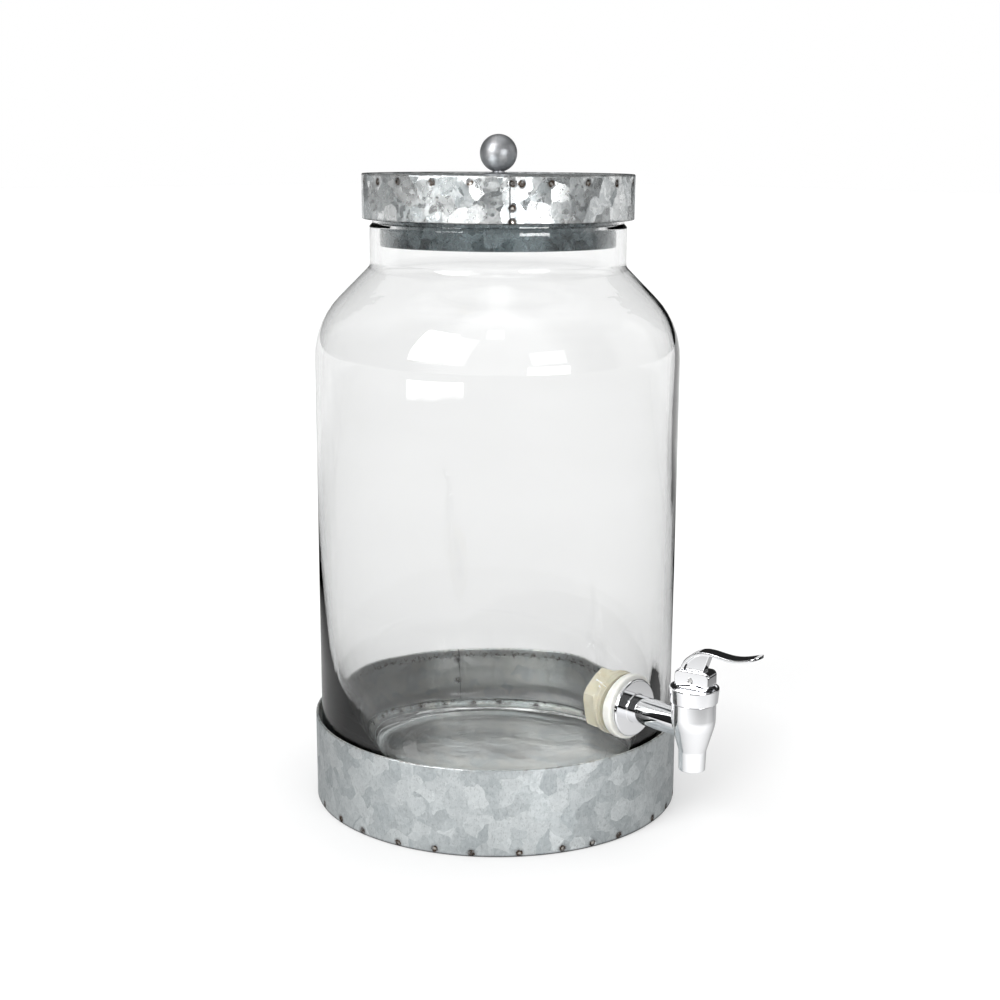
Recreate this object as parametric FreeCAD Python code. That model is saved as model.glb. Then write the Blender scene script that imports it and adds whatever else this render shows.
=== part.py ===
"""Countertop glass beverage dispenser: a wide-mouth jar that stands in a galvanised tray, with a drop-on
galvanised lid and a chrome push-lever tap near the foot of the jar. Millimetres, +Z up, the tap towards -Y.
The origin is the centre of the tray's underside. Run by FreeCAD's own Python; writes parts/NODE.step."""

import FreeCAD
import Part

import math
import os

V = FreeCAD.Vector
UP = V(0, 0, 1)
FRONT = V(0, -1, 0)

# Galvanised sheet, tray and lid
SHEET = 0.7
FIT = 0.05  # gap between pieces that are pressed or welded together
REST = 0.05  # gap under a piece that only stands on another
BASE_R = 100.0
BASE_H = 46.5
BASE_HEM = 5.0  # the tray's rim is folded inwards by this much
BASE_SEAM = 150.0  # lap seam, degrees from the front towards +X
LID_R = 71.5
LID_SKIRT = 23.1
LID_SEAM = -39.5
LAP = 40.0  # degrees over which a band's outer end sinks back onto the band's own radius
FLANGE_H = 6.0  # turned edge of the tray plate and the lid plate

# Glass jar
JAR_R = 97.0
WALL = 4.0
JAR_FOOT = SHEET + REST  # the jar stands on the tray plate
FLOOR = 9.5  # glass under the inside of the jar
KICK_UP = 2.5  # the underside's rise at its centre
FOOT_RING_R, FOOT_BLEND_R = JAR_R - 16.0, 12.0  # where the kick-up meets the flat foot
HEEL_R = 8.0
INNER_HEEL_R = 15.0
SHOULDER_R = 45.0
SHOULDER_SUM = 358.0  # on the 45 degree shoulder cone, radius plus height is this
NECK_R = 67.6
NECK_WALL = 4.3
NECK_FILLET = 5.0
GROOVE_R = 66.2
GROOVE_LOW, GROOVE_HIGH = 311.0, 316.5
GROOVE_SLOPE, GROOVE_FILLET = 1.6, 1.0
MOUTH_Z = 336.1
LIP_R = 1.8  # rounding of the lip, inside and out
TAP_HOLE_R = 8.7

# Lid
GASKET_T = 0.6  # between the glass lip and the lid plate
GASKET_DEPTH = 9.0  # its sleeve, down inside the mouth
LID_PLATE_Z = MOUTH_Z + GASKET_T  # underside of the lid plate
LID_RIM = 0.7  # the skirt stands this much proud of the plate
LID_TOP = LID_PLATE_Z + SHEET + LID_RIM
COLLAR_R = 62.2  # plug ring that hangs in the mouth
COLLAR_FOOT = 301.3
COLLAR_TURN_IN = 8.0  # width of the collar's welding flange
GASKET_R = 63.1
KNOB_R = 9.75
KNOB_FOOT_R, KNOB_FOOT_H = 3.2, 2.0
KNOB_RISE = 0.2  # between the ball and its washer
KNOB_WASHER_R, KNOB_WASHER_H = 9.5, 1.3
SCREW_R = 2.0
SCREW_REACH = 8.0  # how far it goes into the knob
CLEARANCE = 0.1  # round a screw or a shank, on the radius
SCREW_HEAD_R, SCREW_HEAD_H = 4.0, 2.4
SCREW_CROSS_L, SCREW_CROSS_W, SCREW_CROSS_DEPTH = 4.4, 0.8, 1.2
LOCK_WASHER_R, LOCK_WASHER_T = 5.0, 0.8

# Tap: the arm runs out along -Y from the jar, the spout hangs from it
TAP_Z = 70.8  # height of the arm's axis
TAP_Y = -141.0  # the spout's axis
FLANGE_R, FLANGE_T = 15.0, 2.5
WASHER_R = 17.0
OUTER_WASHER_FACE = 100.5  # flat face of the outer washer, from the jar's axis
INNER_WASHER_FACE = 89.5
INNER_WASHER_R = 16.4
NUT_T = 8.0  # the hexagon alone
NUT_FLANGE_R, NUT_FLANGE_T = 16.8, 3.0
NUT_CORNER_R = 17.6
NUT_TURN = 8.0  # degrees from having a corner up
SHANK_R = 8.2
SHANK_END = 75.5
ARM_R = 7.2
ARM_BORE_R = 4.3
BODY_R = 11.05
BODY_TOP = 84.0
SHOULDER_Z = 73.0  # below this the body tapers to the nozzle
NOZZLE_R = 6.6
NOZZLE_TOP, NOZZLE_END = 58.6, 48.4
SPOUT_BORE_R = 5.0
SPOUT_BORE_TOP = 59.0
SEAT_Z = 62.4
SEAT_BORE_R = 4.0
SEAT_R = 6.6
CHAMBER_R = 8.6
THREAD_NECK_R = 9.8
NECK_TOP = 89.6

# Bonnet, stem and lever
BONNET_R_TOP, BONNET_R_FOOT = 12.5, 11.8
BONNET_TOP = 91.8
BONNET_DECK = 91.2  # the lever's cam rides on this recessed deck
BONNET_RIM_R = 11.2
STEM_R = 2.4
STEM_CLEARANCE = 0.06
STEM_SHOULDER_R, STEM_SHOULDER_Z, STEM_SHOULDER_T = 5.6, 75.0, 1.4
FLATS_T, FLATS_LENGTH = 3.2, 6.5  # the two flats at the stem's top: across them, and down from the pin
BARB_R = 3.0
SPRING_R, SPRING_WIRE_R, SPRING_TURNS = 4.2, 0.45, 5
SPRING_WASHER_R, SPRING_WASHER_T = 5.6, 0.6
O_RING_WIRE_R = 0.8
GUIDE_T, GUIDE_GROOVE = 3.2, 1.7  # the stem's guide, and the depth of its O-ring groove
LEVER_TURN = 14.0  # the lever rests turned this far towards +X
BLOCK_BACK, BLOCK_FRONT = -8.8, 9.8
BLOCK_H = 9.6
BLOCK_W = 10.0
CAM_R = 3.2
PIN_Z = BONNET_DECK + 4.7
PIN_R = 1.2
SLOT_W = 3.8
SLOT_BACK, SLOT_FRONT = -3.2, 6.0
SLOT_ROOF = 1.6  # metal left above the slot
WEB_W = 6.0
PADDLE_T = 1.5
PADDLE_TIP, PADDLE_TIP_W = 35.5, 10.0
PADDLE_NECK, PADDLE_NECK_W = 14.0, 7.8  # the paddle widens from here to its tip


def polar(radius, degrees, z=0.0):
    """Point at an angle from the front (-Y) towards +X."""
    a = math.radians(degrees)
    return V(radius * math.sin(a), -radius * math.cos(a), z)


def rounded_edges(corners, to_point):
    """Edges of a closed outline; each corner is (x, y, fillet radius), and to_point makes a 3-D point."""
    edges = []
    count = len(corners)
    ends = []
    for i, (x, y, radius) in enumerate(corners):
        before, after = corners[i - 1], corners[(i + 1) % count]
        here = V(x, y, 0)
        back = (V(before[0], before[1], 0) - here).normalize()
        ahead = (V(after[0], after[1], 0) - here).normalize()
        if radius == 0:
            ends.append((here, None, here))
            continue
        half = back.getAngle(ahead) / 2
        reach = radius / math.tan(half)
        middle = (back + ahead).normalize()
        ends.append(
            (
                here + back * reach,
                here + middle * (radius / math.sin(half) - radius),
                here + ahead * reach,
            )
        )
    for i, (start, middle, end) in enumerate(ends):
        if middle is not None:
            edges.append(Part.Arc(to_point(start), to_point(middle), to_point(end)).toShape())
        following = ends[(i + 1) % count][0]
        if (following - end).Length > 1e-6:
            edges.append(Part.LineSegment(to_point(end), to_point(following)).toShape())
    return edges


def turned(corners, centre=V(0, 0, 0)):
    """Solid of revolution about Z through centre; the outline's x is the radius."""
    edges = rounded_edges(corners, lambda p: V(p.x, 0, p.y))
    face = Part.Face(Part.Wire(Part.__sortEdges__(edges)))
    solid = face.revolve(V(0, 0, 0), UP, 360)
    solid.translate(centre)
    return solid


def turned_about_arm(corners):
    """Solid of revolution about the tap arm's axis; the outline's y is the distance out from the jar's axis."""
    solid = turned(corners)
    solid.rotate(V(0, 0, 0), V(1, 0, 0), 90)
    solid.translate(V(0, 0, TAP_Z))
    return solid


def rod_along_arm(radius, near, far):
    """Cylinder on the arm's axis between two distances from the jar's axis."""
    return Part.makeCylinder(radius, far - near, V(0, -near, TAP_Z), FRONT)


def ring(outer, inner, low, high, centre=V(0, 0, 0)):
    """Plain ring about Z."""
    return turned([(inner, low, 0), (outer, low, 0), (outer, high, 0), (inner, high, 0)], centre)


def lapped_band(radius, low, high, seam):
    """Rolled strip whose outer end laps over the inner end at the seam, one sheet thickness proud."""
    step = polar(radius + SHEET, seam)
    edges = [
        Part.Arc(
            polar(radius, seam + LAP), polar(radius, seam + LAP / 2 + 180), polar(radius, seam + 360)
        ).toShape(),
        Part.LineSegment(polar(radius, seam), step).toShape(),
        Part.Arc(
            step, polar(radius + SHEET / 3, seam + LAP / 2), polar(radius, seam + LAP)
        ).toShape(),
    ]
    outer = Part.Face(Part.Wire(Part.__sortEdges__(edges)))
    bore = Part.makeCylinder(radius - SHEET, high - low)
    band = outer.extrude(V(0, 0, high - low)).cut(bore)
    band.translate(V(0, 0, low))
    return band


def base_band():
    """The tray's wall, with its rim folded inwards as a hem."""
    hem = ring(BASE_R - SHEET, BASE_R - 2 * SHEET, BASE_H - BASE_HEM, BASE_H)
    return lapped_band(BASE_R, 0, BASE_H, BASE_SEAM).fuse(hem).removeSplitter()


def base_plate():
    """The tray's floor, with an edge turned up and spot-welded inside the band."""
    edge = BASE_R - SHEET - FIT
    return turned(
        [
            (0, 0, 0),
            (edge, 0, 1.2),
            (edge, FLANGE_H, 0),
            (edge - SHEET, FLANGE_H, 0),
            (edge - SHEET, SHEET, 0.6),
            (0, SHEET, 0),
        ]
    )


def glass_jar():
    """Blown jar: thick floor with a kick-up, plain wall, round shoulder, grooved neck and open mouth."""
    inner_r = JAR_R - WALL
    inner_sum = SHOULDER_SUM - WALL * math.sqrt(2)
    mouth_r = NECK_R - NECK_WALL
    floor = JAR_FOOT + FLOOR
    jar = turned(
        [
            (0, JAR_FOOT + KICK_UP, 0),
            (FOOT_RING_R, JAR_FOOT, FOOT_BLEND_R),
            (JAR_R, JAR_FOOT, HEEL_R),
            (JAR_R, SHOULDER_SUM - JAR_R, SHOULDER_R),
            (NECK_R, SHOULDER_SUM - NECK_R, NECK_FILLET),
            (NECK_R, GROOVE_LOW, GROOVE_FILLET),
            (GROOVE_R, GROOVE_LOW + GROOVE_SLOPE, GROOVE_FILLET),
            (GROOVE_R, GROOVE_HIGH - GROOVE_SLOPE, GROOVE_FILLET),
            (NECK_R, GROOVE_HIGH, GROOVE_FILLET),
            (NECK_R, MOUTH_Z, LIP_R),
            (mouth_r, MOUTH_Z, LIP_R),
            (mouth_r, inner_sum - mouth_r, NECK_FILLET + WALL),
            (inner_r, inner_sum - inner_r, SHOULDER_R - WALL),
            (inner_r, floor, INNER_HEEL_R),
            (0, floor + KICK_UP, 0),
        ]
    )
    return jar.cut(rod_along_arm(TAP_HOLE_R, JAR_R - 3 * WALL, JAR_R + WALL))


def lid_band():
    return lapped_band(LID_R, LID_TOP - LID_SKIRT, LID_TOP, LID_SEAM)


def lid_plate():
    """The lid's top, with an edge turned down inside the skirt and a hole for the knob's screw."""
    edge = LID_R - SHEET - FIT
    top = LID_PLATE_Z + SHEET
    hole = SCREW_R + 2 * CLEARANCE
    return turned(
        [
            (hole, LID_PLATE_Z, 0),
            (edge - SHEET, LID_PLATE_Z, 0.4),
            (edge - SHEET, top - FLANGE_H, 0),
            (edge, top - FLANGE_H, 0),
            (edge, top, 1.1),
            (hole, top, 0),
        ]
    )


def lid_collar():
    """Plug ring with a turned-in top that is welded under the lid plate."""
    top = LID_PLATE_Z - FIT
    return turned(
        [
            (COLLAR_R - SHEET, COLLAR_FOOT, 0),
            (COLLAR_R, COLLAR_FOOT, 0.3),
            (COLLAR_R, top, 0.9),
            (COLLAR_R - COLLAR_TURN_IN, top, 0),
            (COLLAR_R - COLLAR_TURN_IN, top - SHEET, 0),
            (COLLAR_R - SHEET, top - SHEET, 0.3),
        ]
    )


def lid_gasket():
    """Silicone ring of L section: it seals on the glass lip and centres the plug ring in the mouth."""
    return turned(
        [
            (COLLAR_R + FIT, LID_PLATE_Z - FIT, 0),
            (COLLAR_R + FIT, MOUTH_Z - GASKET_DEPTH, 0),
            (GASKET_R, MOUTH_Z - GASKET_DEPTH, 0.5),
            (GASKET_R, MOUTH_Z + REST, 0),
            (NECK_R, MOUTH_Z + REST, 0),
            (NECK_R, LID_PLATE_Z - FIT, 0),
        ]
    )


def knob_foot_z():
    return LID_PLATE_Z + SHEET + KNOB_WASHER_H


def knob():
    """Ball with a short foot and a blind hole for the screw."""
    foot = knob_foot_z()
    centre = V(0, 0, foot + KNOB_RISE + KNOB_R)
    ball = Part.makeSphere(KNOB_R, centre)
    ball = ball.fuse(Part.makeCylinder(KNOB_FOOT_R, KNOB_FOOT_H, V(0, 0, foot)))
    hole = Part.makeCylinder(SCREW_R + FIT, SCREW_REACH + 1, V(0, 0, foot))
    return ball.cut(hole).removeSplitter()


def knob_washer():
    low = LID_PLATE_Z + SHEET
    hole = SCREW_R + CLEARANCE
    return turned(
        [
            (hole, low, 0),
            (KNOB_WASHER_R, low, 0),
            (KNOB_WASHER_R, low + 0.4, 0),
            (3.6, knob_foot_z(), 0.5),
            (hole, knob_foot_z(), 0),
        ]
    )


def lock_washer():
    return ring(LOCK_WASHER_R, SCREW_R + CLEARANCE, LID_PLATE_Z - LOCK_WASHER_T, LID_PLATE_Z)


def knob_screw():
    """Cross-head screw that comes up through the lid plate into the ball."""
    seat = LID_PLATE_Z - LOCK_WASHER_T
    screw = turned(
        [
            (0, seat - SCREW_HEAD_H, 0),
            (SCREW_HEAD_R, seat - SCREW_HEAD_H, 1.2),
            (SCREW_HEAD_R, seat, 0),
            (SCREW_R, seat, 0),
            (SCREW_R, knob_foot_z() + SCREW_REACH, 0.5),
            (0, knob_foot_z() + SCREW_REACH, 0),
        ]
    )
    for length, width in ((SCREW_CROSS_L, SCREW_CROSS_W), (SCREW_CROSS_W, SCREW_CROSS_L)):
        corner = V(-length / 2, -width / 2, seat - SCREW_HEAD_H)
        slot = Part.makeBox(length, width, SCREW_CROSS_DEPTH, corner)
        screw = screw.cut(slot)
    return screw


def tap_body():
    """One moulding: threaded shank, flange, arm, valve chamber and nozzle."""
    back = OUTER_WASHER_FACE
    arm = turned_about_arm(
        [
            (ARM_BORE_R, SHANK_END, 0),
            (SHANK_R, SHANK_END, 0.8),
            (SHANK_R, back, 0),
            (FLANGE_R, back, 0.4),
            (FLANGE_R, back + FLANGE_T, 0.9),
            (ARM_R, back + FLANGE_T, 0.6),
            (ARM_R, -TAP_Y, 0),
            (ARM_BORE_R, -TAP_Y, 0),
        ]
    )
    axis = V(0, TAP_Y, 0)
    spout = turned(
        [
            (0, NOZZLE_END, 0),
            (NOZZLE_R, NOZZLE_END, 0.5),
            (NOZZLE_R + 0.3, NOZZLE_TOP, 3),
            (BODY_R, SHOULDER_Z, 20),
            (BODY_R, BODY_TOP, 0.4),
            (THREAD_NECK_R, BODY_TOP, 0),
            (THREAD_NECK_R, NECK_TOP, 0.4),
            (0, NECK_TOP, 0),
        ],
        axis,
    )
    hollow = turned(
        [
            (0, NOZZLE_END - 1, 0),
            (SPOUT_BORE_R, NOZZLE_END - 1, 0),
            (SPOUT_BORE_R, SPOUT_BORE_TOP, 0),
            (SEAT_BORE_R, SPOUT_BORE_TOP, 0),
            (SEAT_BORE_R, SEAT_Z, 0),
            (SEAT_R, SEAT_Z, 0),
            (CHAMBER_R, SHOULDER_Z - 3, 6),
            (CHAMBER_R, NECK_TOP + 1, 0),
            (0, NECK_TOP + 1, 0),
        ],
        axis,
    )
    passage = rod_along_arm(ARM_BORE_R, SHANK_END - 1, -TAP_Y)
    return arm.fuse(spout).cut(hollow).cut(passage).removeSplitter()


def outer_washer():
    """Thick silicone washer: flat under the flange, shaped to the glass on its other side."""
    washer = rod_along_arm(WASHER_R, JAR_R - 2, OUTER_WASHER_FACE - FIT)
    rim = [e for e in washer.Edges if abs(e.CenterOfMass.y + OUTER_WASHER_FACE - FIT) < 0.01]
    washer = washer.makeFillet(0.9, rim)
    washer = washer.cut(Part.makeCylinder(JAR_R + FIT, 60, V(0, 0, TAP_Z - 30)))
    return washer.cut(rod_along_arm(SHANK_R + CLEARANCE, JAR_R - 5, OUTER_WASHER_FACE + 1))


def inner_washer():
    """Silicone washer inside the jar, shaped to the glass on its outer side."""
    washer = rod_along_arm(INNER_WASHER_R, INNER_WASHER_FACE, JAR_R)
    washer = washer.common(Part.makeCylinder(JAR_R - WALL - FIT, 60, V(0, 0, TAP_Z - 30)))
    return washer.cut(rod_along_arm(SHANK_R + CLEARANCE, SHANK_END, JAR_R))


def tap_nut():
    """Flanged hexagonal nut inside the jar; the hexagon's free corners are chamfered."""
    high = INNER_WASHER_FACE - FIT
    step = high - NUT_FLANGE_T
    low = step - NUT_T
    corners = [polar(NUT_CORNER_R, NUT_TURN + 60 * i) for i in range(7)]
    prism = Part.Face(Part.makePolygon(corners)).extrude(V(0, 0, NUT_T))
    prism.translate(V(0, 0, low))
    prism.rotate(V(0, 0, 0), V(1, 0, 0), 90)
    prism.translate(V(0, 0, TAP_Z))
    flat_r = NUT_CORNER_R * math.cos(math.radians(30))
    bevel = turned_about_arm(
        [
            (0, low, 0),
            (flat_r + 0.4, low, 0),
            (NUT_CORNER_R + 1, low + 1.8, 0),
            (NUT_CORNER_R + 1, high, 0),
            (0, high, 0),
        ]
    )
    flange = turned_about_arm(
        [(0, step, 0), (NUT_FLANGE_R, step, 0.6), (NUT_FLANGE_R, high, 0.6), (0, high, 0)]
    )
    nut = prism.common(bevel).fuse(flange)
    return nut.cut(rod_along_arm(SHANK_R + FIT, low - 1, high + 1)).removeSplitter()


def bonnet():
    """Screwed cap of the valve: a recessed deck for the lever's cam and a guide for the stem."""
    hole = STEM_R + STEM_CLEARANCE
    return turned(
        [
            (hole, NECK_TOP + FIT, 0),
            (THREAD_NECK_R + FIT, NECK_TOP + FIT, 0),
            (THREAD_NECK_R + FIT, BODY_TOP + FIT, 0),
            (BONNET_R_FOOT, BODY_TOP + FIT, 0.4),
            (BONNET_R_TOP, BONNET_TOP, 0.6),
            (BONNET_RIM_R, BONNET_TOP, 0.2),
            (BONNET_RIM_R, BONNET_DECK, 0),
            (hole, BONNET_DECK, 0),
        ],
        V(0, TAP_Y, 0),
    )


def stem_guide():
    """Nylon gland under the bonnet that holds the O-ring and guides the stem."""
    top = NECK_TOP
    hole = STEM_R + STEM_CLEARANCE
    groove_r = STEM_R + 2 * O_RING_WIRE_R + 0.15
    return turned(
        [
            (hole, top - GUIDE_T, 0),
            (CHAMBER_R - FIT, top - GUIDE_T, 0.3),
            (CHAMBER_R - FIT, top, 0),
            (groove_r, top, 0),
            (groove_r, top - GUIDE_GROOVE, 0),
            (hole, top - GUIDE_GROOVE, 0),
        ],
        V(0, TAP_Y, 0),
    )


def stem_o_ring():
    middle = STEM_R + O_RING_WIRE_R + 0.07
    return Part.makeTorus(middle, O_RING_WIRE_R - 0.02, V(0, TAP_Y, NECK_TOP - O_RING_WIRE_R))


def spring_top():
    return NECK_TOP - GUIDE_T - FIT


def spring_washer():
    low = spring_top() - SPRING_WASHER_T
    return ring(SPRING_WASHER_R, STEM_R + 0.2, low, spring_top(), V(0, TAP_Y, 0))


def stem_spring():
    """Compression spring between the guide's washer and the stem's shoulder."""
    low = STEM_SHOULDER_Z + STEM_SHOULDER_T + SPRING_WIRE_R + FIT
    high = spring_top() - SPRING_WASHER_T - SPRING_WIRE_R - FIT
    path = Part.makeHelix((high - low) / SPRING_TURNS, high - low, SPRING_R)
    section = Part.Wire(Part.makeCircle(SPRING_WIRE_R, V(SPRING_R, 0, 0), V(0, 1, 0)))
    spring = Part.Wire(path).makePipeShell([section], True, True)
    spring.translate(V(0, TAP_Y, low))
    return spring


def stem():
    """Valve stem: a barb for the seat cup, a shoulder for the spring and two flats at its top for the lever."""
    rod = turned(
        [
            (0, SEAT_Z + 3.2, 0),
            (BARB_R, SEAT_Z + 3.2, 0.4),
            (BARB_R, SEAT_Z + 5.2, 0.4),
            (STEM_R, SEAT_Z + 6.0, 0),
            (STEM_R, STEM_SHOULDER_Z, 0),
            (STEM_SHOULDER_R, STEM_SHOULDER_Z, 0.3),
            (STEM_SHOULDER_R, STEM_SHOULDER_Z + STEM_SHOULDER_T, 0.3),
            (STEM_R, STEM_SHOULDER_Z + STEM_SHOULDER_T, 0),
            (STEM_R, PIN_Z + STEM_R, 0),
            (0, PIN_Z + STEM_R, 0),
        ]
    )
    across = V(0, 1, 0)
    low = PIN_Z - FLATS_LENGTH
    flats = Part.makeBox(4 * STEM_R, FLATS_T, FLATS_LENGTH + 2 * STEM_R, V(-2 * STEM_R, -FLATS_T / 2, low))
    below = Part.makeCylinder(2 * STEM_SHOULDER_R, low - SEAT_Z, V(0, 0, SEAT_Z))
    round_top = Part.makeCylinder(STEM_R, 4 * STEM_R, V(0, -2 * STEM_R, PIN_Z), across)
    shank = Part.makeCylinder(2 * STEM_SHOULDER_R, PIN_Z - SEAT_Z, V(0, 0, SEAT_Z))
    rod = rod.common(below.fuse(flats)).common(shank.fuse(round_top)).removeSplitter()
    pin_hole = Part.makeCylinder(PIN_R + 0.05, 4 * STEM_R, V(0, -2 * STEM_R, PIN_Z), across)
    return lever_place(rod.cut(pin_hole))


def seat_cup():
    """Silicone cup on the stem's foot; its lip closes on the body's seat."""
    return turned(
        [
            (0, SEAT_Z + 1.6, 0),
            (3.4, SEAT_Z + 1.6, 0.6),
            (4.4, SEAT_Z + 0.02, 0),
            (6.1, SEAT_Z + 0.02, 0.4),
            (6.1, SEAT_Z + 3.4, 1.5),
            (4.2, SEAT_Z + 7.0, 1.0),
            (STEM_R + FIT, SEAT_Z + 7.0, 0),
            (STEM_R + FIT, SEAT_Z + 6.0, 0),
            (BARB_R + FIT, SEAT_Z + 5.3, 0),
            (BARB_R + FIT, SEAT_Z + 3.1, 0),
            (0, SEAT_Z + 3.1, 0),
        ],
        V(0, TAP_Y, 0),
    )


def lever_place(solid):
    """Moves a piece drawn about Z, with the lever along +X, onto the spout's axis at the lever's angle."""
    solid.rotate(V(0, 0, 0), UP, LEVER_TURN - 90)
    solid.translate(V(0, TAP_Y, 0))
    return solid


def lever_pin():
    pin = Part.makeCylinder(PIN_R, BLOCK_W - 0.4, V(0, -BLOCK_W / 2 + 0.2, PIN_Z), V(0, 1, 0))
    return lever_place(pin)


def slab(edges, width):
    """Solid of a side outline in the XZ plane, centred on Y."""
    face = Part.Face(Part.Wire(Part.__sortEdges__(edges)))
    solid = face.extrude(V(0, width, 0))
    solid.translate(V(0, -width / 2, 0))
    return solid


def paddle_curve(offset):
    """S-shaped side view of the paddle, as a spline from the block's back to the tip."""
    points = [(-6.2, 9.6), (-3.1, 15.6), (4.8, 19.8), (13.0, 19.4), (20.8, 18.6), (28.5, 19.9)]
    points.append((PADDLE_TIP, 22.4))
    raised = [V(x, 0, BONNET_DECK + z - offset) for x, z in points]
    if offset:
        raised[0].x += offset
        raised[1].x += offset * 0.7
    curve = Part.BSplineCurve()
    curve.interpolate(raised)
    return curve.toShape()


def lever():
    """Cam block, web and S-shaped paddle in one casting; the block straddles the stem's tongue."""
    foot = BONNET_DECK + REST
    side = rounded_edges(
        [
            (BLOCK_BACK, foot, CAM_R),
            (BLOCK_FRONT, foot, CAM_R),
            (BLOCK_FRONT, foot + BLOCK_H, 2.6),
            (BLOCK_BACK, foot + BLOCK_H, 2.6),
        ],
        lambda p: V(p.x, 0, p.y),
    )
    block = slab(side, BLOCK_W)
    block = block.makeFillet(0.7, [e for e in block.Edges if abs(abs(e.CenterOfMass.y) - BLOCK_W / 2) < 0.01])
    web = slab(
        rounded_edges(
            [
                (-4.2, foot + BLOCK_H - 1, 0),
                (5.4, foot + BLOCK_H - 1, 0),
                (9.0, foot + 18.9, 0),
                (3.0, foot + 18.9, 0),
                (-1.8, foot + 15.6, 2),
            ],
            lambda p: V(p.x, 0, p.y),
        ),
        WEB_W,
    )
    top, under = paddle_curve(0), paddle_curve(PADDLE_T)
    ends = [
        Part.LineSegment(top.Vertexes[i].Point, under.Vertexes[i].Point).toShape() for i in (0, 1)
    ]
    paddle = slab([top, under] + ends, BLOCK_W)
    neck, tip = PADDLE_NECK_W / 2, PADDLE_TIP_W / 2
    plan = rounded_edges(
        [
            (BLOCK_BACK, -neck, 0),
            (PADDLE_NECK, -neck, 0),
            (PADDLE_TIP, -tip, 4.6),
            (PADDLE_TIP, tip, 4.6),
            (PADDLE_NECK, neck, 0),
            (BLOCK_BACK, neck, 0),
        ],
        lambda p: V(p.x, p.y, foot + BLOCK_H / 2),
    )
    plan_face = Part.Face(Part.Wire(Part.__sortEdges__(plan)))
    paddle = paddle.common(plan_face.extrude(V(0, 0, 3 * BLOCK_H)))
    solid = block.fuse([web, paddle]).removeSplitter()
    slot = Part.makeBox(
        SLOT_FRONT - SLOT_BACK, SLOT_W, BLOCK_H - SLOT_ROOF + 1, V(SLOT_BACK, -SLOT_W / 2, foot - 1)
    )
    pin_hole = Part.makeCylinder(PIN_R + 0.04, BLOCK_W, V(0, -BLOCK_W / 2, PIN_Z), V(0, 1, 0))
    return lever_place(solid.cut(slot).cut(pin_hole))


NODES = {
    "base_band": base_band,
    "base_plate": base_plate,
    "glass_jar": glass_jar,
    "lid_band": lid_band,
    "lid_plate": lid_plate,
    "lid_collar": lid_collar,
    "lid_gasket": lid_gasket,
    "knob": knob,
    "knob_washer": knob_washer,
    "knob_lock_washer": lock_washer,
    "knob_screw": knob_screw,
    "tap_body": tap_body,
    "tap_outer_washer": outer_washer,
    "tap_inner_washer": inner_washer,
    "tap_nut": tap_nut,
    "bonnet": bonnet,
    "stem_guide": stem_guide,
    "stem_o_ring": stem_o_ring,
    "spring_washer": spring_washer,
    "stem_spring": stem_spring,
    "stem": stem,
    "seat_cup": seat_cup,
    "lever_pin": lever_pin,
    "lever": lever,
}

os.makedirs("parts", exist_ok=True)
for name, make in NODES.items():
    shape = make()
    solids = shape.Solids
    print(f"{name}: {len(solids)} solid, {shape.Volume:.0f} mm3, valid {shape.isValid()}")
    (solids[0] if len(solids) == 1 else Part.Compound(solids)).exportStep(f"parts/{name}.step")
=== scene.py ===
"""Looks of the glass beverage dispenser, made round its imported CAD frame. Metres, +Z up.
The tap points towards -Y. Angles round the jar are counted from the tap towards +X, and the
camera stands at -44 degrees."""

import math

import bmesh
import bpy
import numpy as np
from mathutils import Matrix, Vector


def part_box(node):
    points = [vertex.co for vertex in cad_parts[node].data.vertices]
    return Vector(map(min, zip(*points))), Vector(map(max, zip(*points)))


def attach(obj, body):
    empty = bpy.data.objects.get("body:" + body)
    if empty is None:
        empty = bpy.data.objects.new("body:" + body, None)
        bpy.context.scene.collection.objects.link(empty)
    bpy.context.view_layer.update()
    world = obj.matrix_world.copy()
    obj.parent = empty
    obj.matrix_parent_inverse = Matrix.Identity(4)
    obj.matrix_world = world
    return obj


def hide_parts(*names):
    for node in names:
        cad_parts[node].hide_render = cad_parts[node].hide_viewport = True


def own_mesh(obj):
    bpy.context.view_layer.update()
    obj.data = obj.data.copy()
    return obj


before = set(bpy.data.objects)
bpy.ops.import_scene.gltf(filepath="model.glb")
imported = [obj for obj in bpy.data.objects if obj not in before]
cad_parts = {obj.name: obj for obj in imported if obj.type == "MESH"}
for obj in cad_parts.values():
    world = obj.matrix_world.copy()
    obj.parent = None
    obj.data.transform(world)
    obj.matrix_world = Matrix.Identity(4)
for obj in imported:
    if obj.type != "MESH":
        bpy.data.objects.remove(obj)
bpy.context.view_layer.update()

MM = 0.001
FULL_TURN = 2 * math.pi
SHEET = 0.7 * MM
FIT = 0.05 * MM  # gap between pieces that are pressed together

# Sizes that the frame gives
TRAY_R = -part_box("base_band")[0].x
TRAY_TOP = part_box("base_band")[1].z
JAR_R = -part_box("glass_jar")[0].x
JAR_FOOT, MOUTH_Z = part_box("glass_jar")[0].z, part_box("glass_jar")[1].z
LID_R = -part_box("lid_plate")[0].x + FIT + SHEET
LID_LOW, LID_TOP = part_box("lid_band")[0].z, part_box("lid_band")[1].z
PLATE_LOW, PLATE_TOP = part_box("base_plate")[0].z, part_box("base_plate")[1].z
LID_PLATE_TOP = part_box("lid_plate")[1].z
TAP_Z = sum(c.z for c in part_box("tap_outer_washer")) / 2

# Seams and welds
HEM = 5.0 * MM  # the tray's rim is folded inwards by this much
LAP = math.radians(40)  # over which a band's outer end sinks back onto its own radius
TRAY_SEAM, LID_SEAM = math.radians(150), math.radians(-39.5)
TRAY_WELD_Z, LID_WELD_Z = 2.0 * MM, LID_TOP - 3.7 * MM
WELD_R = 1.7 * MM
WELD_REACH = 9.0  # mm from a weld that its marks could reach

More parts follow.
